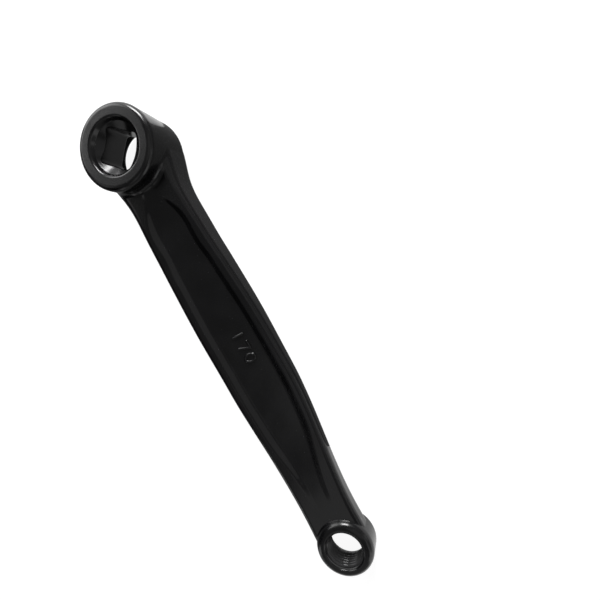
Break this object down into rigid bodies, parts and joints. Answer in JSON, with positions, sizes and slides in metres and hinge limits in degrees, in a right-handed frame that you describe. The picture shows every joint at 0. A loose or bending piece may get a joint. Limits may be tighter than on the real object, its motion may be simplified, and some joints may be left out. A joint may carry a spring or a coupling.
{
  "type": "bicycle crank arm",
  "caption": "One-piece forged left crank arm with a square-taper spindle boss, a shallow pocket between two rails and a threaded pedal eye.",
  "frame": {"origin": "on the spindle axis, in the plane of the outer face that the arm lies on", "axes": "+Z along the spindle axis towards the inner side, +X from the spindle axis to the pedal axis"},
  "size_m": [0.1968, 0.0318, 0.0235],
  "materials": {
    "black_paint": "gloss"
  },
  "bodies": {
    "root": {"crank_arm": "black_paint"}
  },
  "joints": []
}
